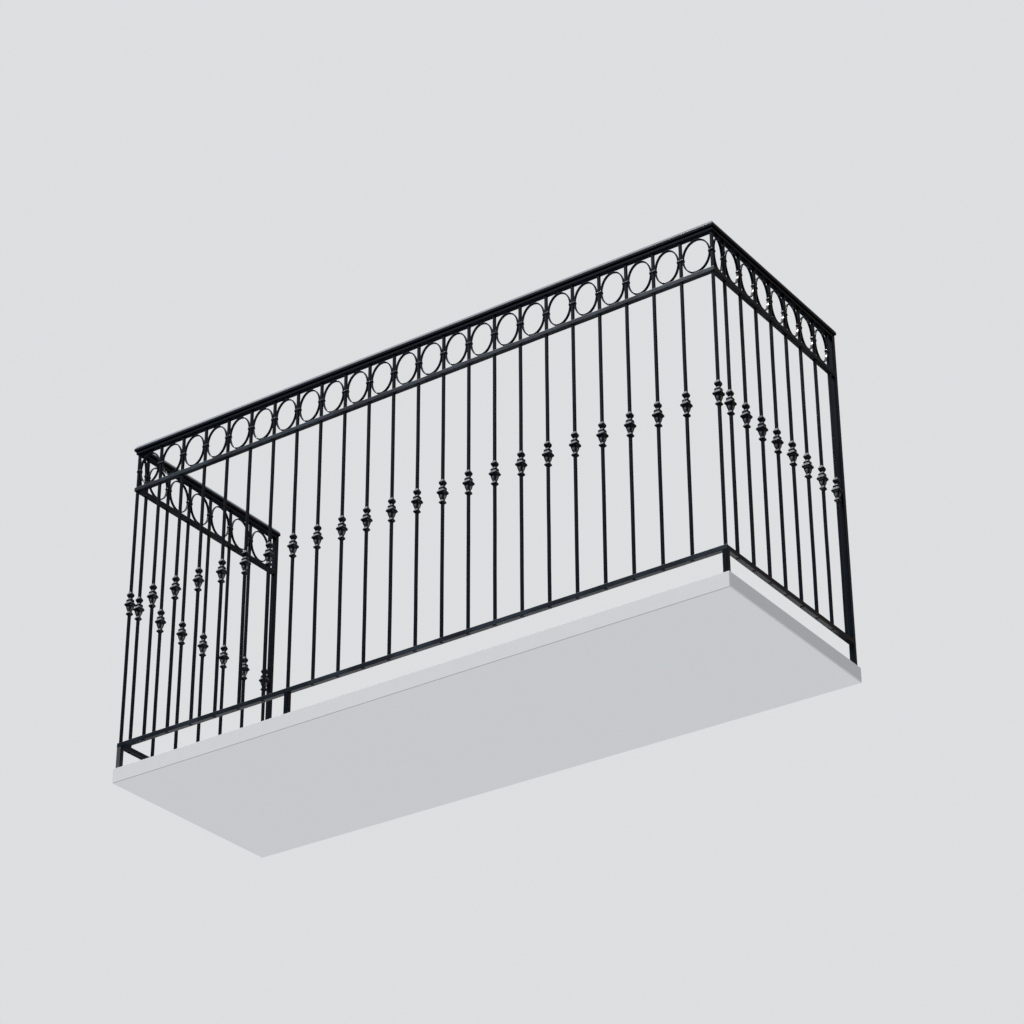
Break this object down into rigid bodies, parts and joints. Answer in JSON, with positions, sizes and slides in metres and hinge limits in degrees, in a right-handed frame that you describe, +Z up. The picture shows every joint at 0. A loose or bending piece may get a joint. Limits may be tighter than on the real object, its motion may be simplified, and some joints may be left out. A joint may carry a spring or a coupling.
{
  "type": "balcony railing",
  "caption": "U-shaped wrought iron balcony railing: square bars with cast knuckles, an oval ring frieze, a capped handrail and feet.",
  "frame": {"origin": "on the floor, below the middle of the bounding box", "axes": "+X along the front run to the right corner as seen from outside, +Y from the front run to the wall, +Z up"},
  "size_m": [2.249, 0.7326, 1.171],
  "materials": {
    "black_paint": "satin",
    "painted_casting": "satin"
  },
  "bodies": {
    "root": {"front_bottom_rail": "black_paint", "right_bottom_rail": "black_paint", "left_bottom_rail": "black_paint", "front_middle_rail": "black_paint", "right_middle_rail": "black_paint", "left_middle_rail": "black_paint", "front_under_rail": "black_paint", "right_under_rail": "black_paint", "left_under_rail": "black_paint", "front_handrail": "black_paint", "right_handrail": "black_paint", "left_handrail": "black_paint", "front_balusters": "black_paint", "right_balusters": "black_paint", "left_balusters": "black_paint", "right_corner_bar": "black_paint", "left_corner_bar": "black_paint", "right_wall_post": "black_paint", "left_wall_post": "black_paint", "right_corner_leg": "black_paint", "left_corner_leg": "black_paint", "front_middle_leg": "black_paint", "front_rings": "black_paint", "right_rings": "black_paint", "left_rings": "black_paint", "front_clips": "black_paint", "right_clips": "black_paint", "left_clips": "black_paint", "right_corner_clip": "black_paint", "left_corner_clip": "black_paint", "front_knuckles": "painted_casting", "right_knuckles": "painted_casting", "left_knuckles": "painted_casting", "right_corner_knuckle": "painted_casting", "left_corner_knuckle": "painted_casting"}
  },
  "joints": []
}
